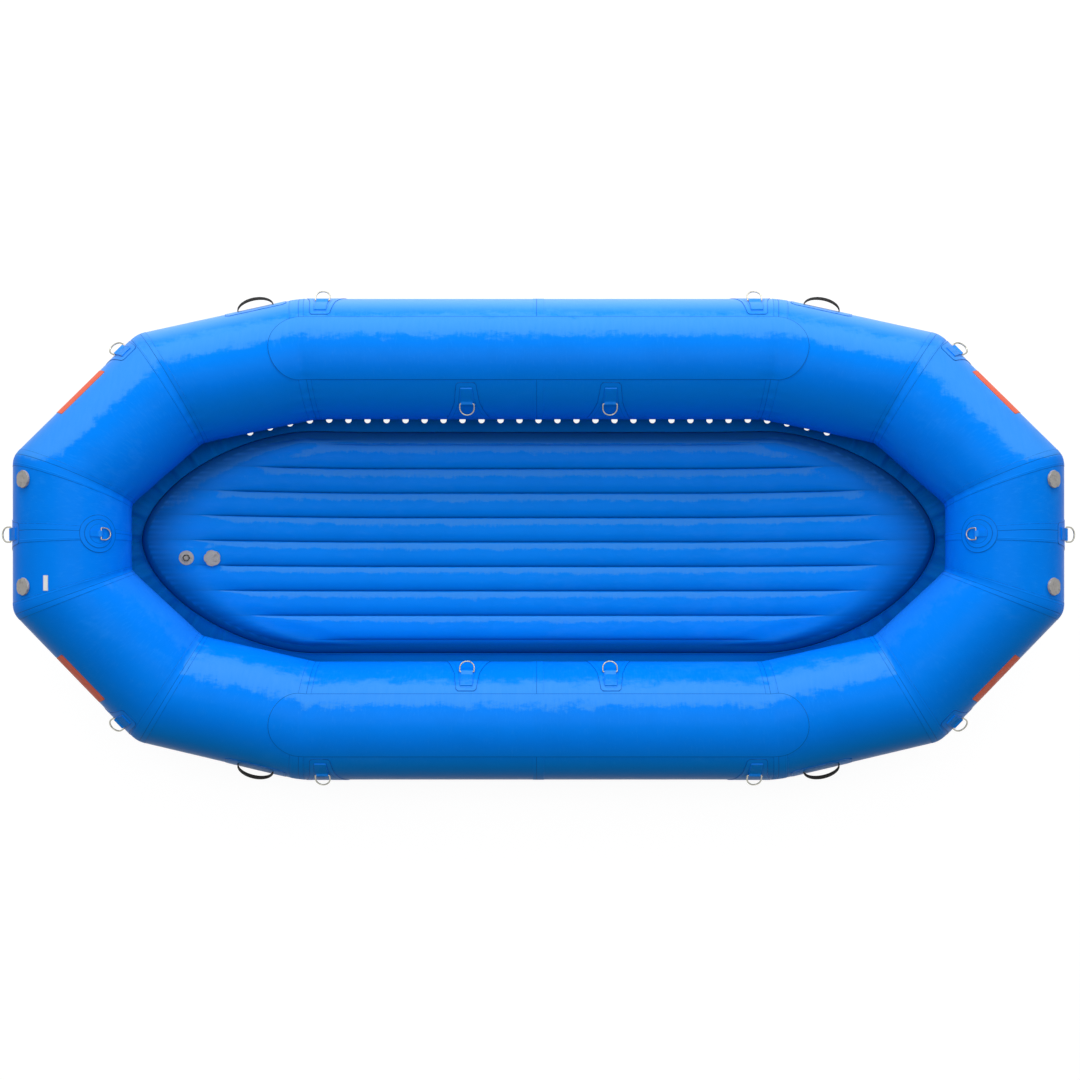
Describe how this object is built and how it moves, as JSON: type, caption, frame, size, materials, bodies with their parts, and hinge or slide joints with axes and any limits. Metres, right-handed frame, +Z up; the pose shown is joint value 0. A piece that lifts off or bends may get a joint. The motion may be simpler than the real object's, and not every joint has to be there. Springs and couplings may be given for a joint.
{
  "type": "inflatable whitewater raft",
  "caption": "Self-bailing inflatable raft with raised bow and stern, a drain skirt with holes, a ribbed air floor, lashing rings, valves and carry handles.",
  "frame": {"origin": "on the ground under the middle of the raft", "axes": "+X towards the bow, +Y towards port, +Z up"},
  "size_m": [4.1838, 2.0124, 0.6969],
  "materials": {
    "tube_skin": "satin coated fabric",
    "floor_skin": "satin coated fabric",
    "skirt_skin": "satin coated fabric",
    "baffle_fabric": "plain coated fabric",
    "patch_skin": "satin coated fabric",
    "chafe_pad": "matt embossed coated fabric",
    "handle_webbing": "woven webbing",
    "ring_steel": "stainless wire",
    "valve_plastic": "moulded plastic"
  },
  "bodies": {
    "hull": {"baffle_bow": "baffle_fabric", "baffle_port": "baffle_fabric", "baffle_starboard": "baffle_fabric", "baffle_stern": "baffle_fabric", "carry_handle_bow_port": "handle_webbing", "carry_handle_bow_starboard": "handle_webbing", "carry_handle_stern_port": "handle_webbing", "carry_handle_stern_starboard": "handle_webbing", "chafe_pad_port": "chafe_pad", "chafe_pad_starboard": "chafe_pad", "chamber_bow_port": "tube_skin", "chamber_bow_starboard": "tube_skin", "chamber_stern_port": "tube_skin", "chamber_stern_starboard": "tube_skin", "drain_skirt": "skirt_skin", "floor_mattress": "floor_skin", "patch_end_inner_bow": "patch_skin", "patch_end_inner_stern": "patch_skin", "patch_end_outer_bow": "patch_skin", "patch_end_outer_stern": "patch_skin", "patch_quarter_bow_port": "patch_skin", "patch_quarter_bow_starboard": "patch_skin", "patch_quarter_stern_port": "patch_skin", "patch_quarter_stern_starboard": "patch_skin", "patch_side_inner_bow_port": "patch_skin", "patch_side_inner_bow_starboard": "patch_skin", "patch_side_inner_stern_port": "patch_skin", "patch_side_inner_stern_starboard": "patch_skin", "patch_side_outer_bow_port": "patch_skin", "patch_side_outer_bow_starboard": "patch_skin", "patch_side_outer_stern_port": "patch_skin", "patch_side_outer_stern_starboard": "patch_skin", "relief_valve_body": "valve_plastic", "valve_body_bow_port": "valve_plastic", "valve_body_bow_starboard": "valve_plastic", "valve_body_floor": "valve_plastic", "valve_body_stern_port": "valve_plastic", "valve_body_stern_starboard": "valve_plastic"},
    "d_ring_side_outer_bow_port": {"d_ring_side_outer_bow_port": "ring_steel"},
    "d_ring_side_inner_bow_port": {"d_ring_side_inner_bow_port": "ring_steel"},
    "d_ring_quarter_bow_port": {"d_ring_quarter_bow_port": "ring_steel"},
    "d_ring_side_outer_bow_starboard": {"d_ring_side_outer_bow_starboard": "ring_steel"},
    "d_ring_side_inner_bow_starboard": {"d_ring_side_inner_bow_starboard": "ring_steel"},
    "d_ring_quarter_bow_starboard": {"d_ring_quarter_bow_starboard": "ring_steel"},
    "d_ring_side_outer_stern_port": {"d_ring_side_outer_stern_port": "ring_steel"},
    "d_ring_side_inner_stern_port": {"d_ring_side_inner_stern_port": "ring_steel"},
    "d_ring_quarter_stern_port": {"d_ring_quarter_stern_port": "ring_steel"},
    "d_ring_side_outer_stern_starboard": {"d_ring_side_outer_stern_starboard": "ring_steel"},
    "d_ring_side_inner_stern_starboard": {"d_ring_side_inner_stern_starboard": "ring_steel"},
    "d_ring_quarter_stern_starboard": {"d_ring_quarter_stern_starboard": "ring_steel"},
    "d_ring_end_outer_bow": {"d_ring_end_outer_bow": "ring_steel"},
    "d_ring_end_inner_bow": {"d_ring_end_inner_bow": "ring_steel"},
    "d_ring_end_outer_stern": {"d_ring_end_outer_stern": "ring_steel"},
    "d_ring_end_inner_stern": {"d_ring_end_inner_stern": "ring_steel"},
    "valve_cap_bow_port": {"valve_cap_bow_port": "valve_plastic"},
    "valve_cap_bow_starboard": {"valve_cap_bow_starboard": "valve_plastic"},
    "valve_cap_stern_port": {"valve_cap_stern_port": "valve_plastic"},
    "valve_cap_stern_starboard": {"valve_cap_stern_starboard": "valve_plastic"},
    "valve_cap_floor": {"valve_cap_floor": "valve_plastic"},
    "relief_valve_poppet": {"relief_valve_poppet": "valve_plastic"}
  },
  "joints": [
    {"name": "swing_side_outer_bow_port", "type": "hinge", "parent": "hull", "child": "d_ring_side_outer_bow_port", "pos_m": [0.875, 0.96161, 0.38506], "axis": [1, 0, 0], "range_deg": [-32, 143]},
    {"name": "swing_side_inner_bow_port", "type": "hinge", "parent": "hull", "child": "d_ring_side_inner_bow_port", "pos_m": [0.28998, 0.54239, 0.38506], "axis": [-1, 0, 0], "range_deg": [-32, 143]},
    {"name": "swing_quarter_bow_port", "type": "hinge", "parent": "hull", "child": "d_ring_quarter_bow_port", "pos_m": [1.67028, 0.74353, 0.46078], "axis": [0.6051, -0.7516, 0.2627], "range_deg": [-31.3, 143.7]},
    {"name": "swing_side_outer_bow_starboard", "type": "hinge", "parent": "hull", "child": "d_ring_side_outer_bow_starboard", "pos_m": [0.875, -0.96161, 0.38506], "axis": [-1, 0, 0], "range_deg": [-32, 143]},
    {"name": "swing_side_inner_bow_starboard", "type": "hinge", "parent": "hull", "child": "d_ring_side_inner_bow_starboard", "pos_m": [0.28998, -0.54239, 0.38506], "axis": [1, 0, 0], "range_deg": [-32, 143]},
    {"name": "swing_quarter_bow_starboard", "type": "hinge", "parent": "hull", "child": "d_ring_quarter_bow_starboard", "pos_m": [1.67028, -0.74353, 0.46078], "axis": [-0.6051, -0.7516, -0.2627], "range_deg": [-31.3, 143.7]},
    {"name": "swing_side_outer_stern_port", "type": "hinge", "parent": "hull", "child": "d_ring_side_outer_stern_port", "pos_m": [-0.875, 0.96161, 0.38506], "axis": [1, 0, 0], "range_deg": [-32, 143]},
    {"name": "swing_side_inner_stern_port", "type": "hinge", "parent": "hull", "child": "d_ring_side_inner_stern_port", "pos_m": [-0.28998, 0.54239, 0.38506], "axis": [-1, 0, 0], "range_deg": [-32, 143]},
    {"name": "swing_quarter_stern_port", "type": "hinge", "parent": "hull", "child": "d_ring_quarter_stern_port", "pos_m": [-1.67028, 0.74353, 0.46078], "axis": [0.6051, 0.7516, -0.2627], "range_deg": [-31.3, 143.7]},
    {"name": "swing_side_outer_stern_starboard", "type": "hinge", "parent": "hull", "child": "d_ring_side_outer_stern_starboard", "pos_m": [-0.875, -0.96161, 0.38506], "axis": [-1, 0, 0], "range_deg": [-32, 143]},
    {"name": "swing_side_inner_stern_starboard", "type": "hinge", "parent": "hull", "child": "d_ring_side_inner_stern_starboard", "pos_m": [-0.28998, -0.54239, 0.38506], "axis": [1, 0, 0], "range_deg": [-32, 143]},
    {"name": "swing_quarter_stern_starboard", "type": "hinge", "parent": "hull", "child": "d_ring_quarter_stern_starboard", "pos_m": [-1.67028, -0.74353, 0.46078], "axis": [-0.6051, 0.7516, 0.2627], "range_deg": [-31.3, 143.7]},
    {"name": "swing_end_outer_bow", "type": "hinge", "parent": "hull", "child": "d_ring_end_outer_bow", "pos_m": [2.04728, 0, 0.57676], "axis": [0, -1, 0], "range_deg": [-40.2, 134.8]},
    {"name": "swing_end_inner_bow", "type": "hinge", "parent": "hull", "child": "d_ring_end_inner_bow", "pos_m": [1.67672, 0, 0.62675], "axis": [0, 1, 0], "range_deg": [0, 170]},
    {"name": "swing_end_outer_stern", "type": "hinge", "parent": "hull", "child": "d_ring_end_outer_stern", "pos_m": [-2.04728, 0, 0.57676], "axis": [0, 1, 0], "range_deg": [-40.2, 134.8]},
    {"name": "swing_end_inner_stern", "type": "hinge", "parent": "hull", "child": "d_ring_end_inner_stern", "pos_m": [-1.67672, 0, 0.62675], "axis": [0, -1, 0], "range_deg": [0, 170]},
    {"name": "cap_turn_bow_port", "type": "hinge", "parent": "hull", "child": "valve_cap_bow_port", "pos_m": [1.95474, 0.204, 0.66636], "axis": [0.5034, 0, 0.864], "range_deg": [0, 90]},
    {"name": "cap_turn_bow_starboard", "type": "hinge", "parent": "hull", "child": "valve_cap_bow_starboard", "pos_m": [1.95474, -0.204, 0.66636], "axis": [0.5034, 0, 0.864], "range_deg": [0, 90]},
    {"name": "cap_turn_stern_port", "type": "hinge", "parent": "hull", "child": "valve_cap_stern_port", "pos_m": [-1.95474, 0.204, 0.66636], "axis": [-0.5034, 0, 0.864], "range_deg": [0, 90]},
    {"name": "cap_turn_stern_starboard", "type": "hinge", "parent": "hull", "child": "valve_cap_stern_starboard", "pos_m": [-1.95474, -0.204, 0.66636], "axis": [-0.5034, 0, 0.864], "range_deg": [0, 90]},
    {"name": "cap_turn_floor", "type": "hinge", "parent": "hull", "child": "valve_cap_floor", "pos_m": [-1.366, -0.075, 0.22935], "axis": [0.2651, -0.0731, 0.9614], "range_deg": [0, 90]},
    {"name": "poppet_lift", "type": "slide", "parent": "hull", "child": "relief_valve_poppet", "axis": [0.2212, -0.0219, 0.975], "range_m": [0, 0.004], "stiffness_N_per_m": 300, "springref_m": -0.002}
  ]
}
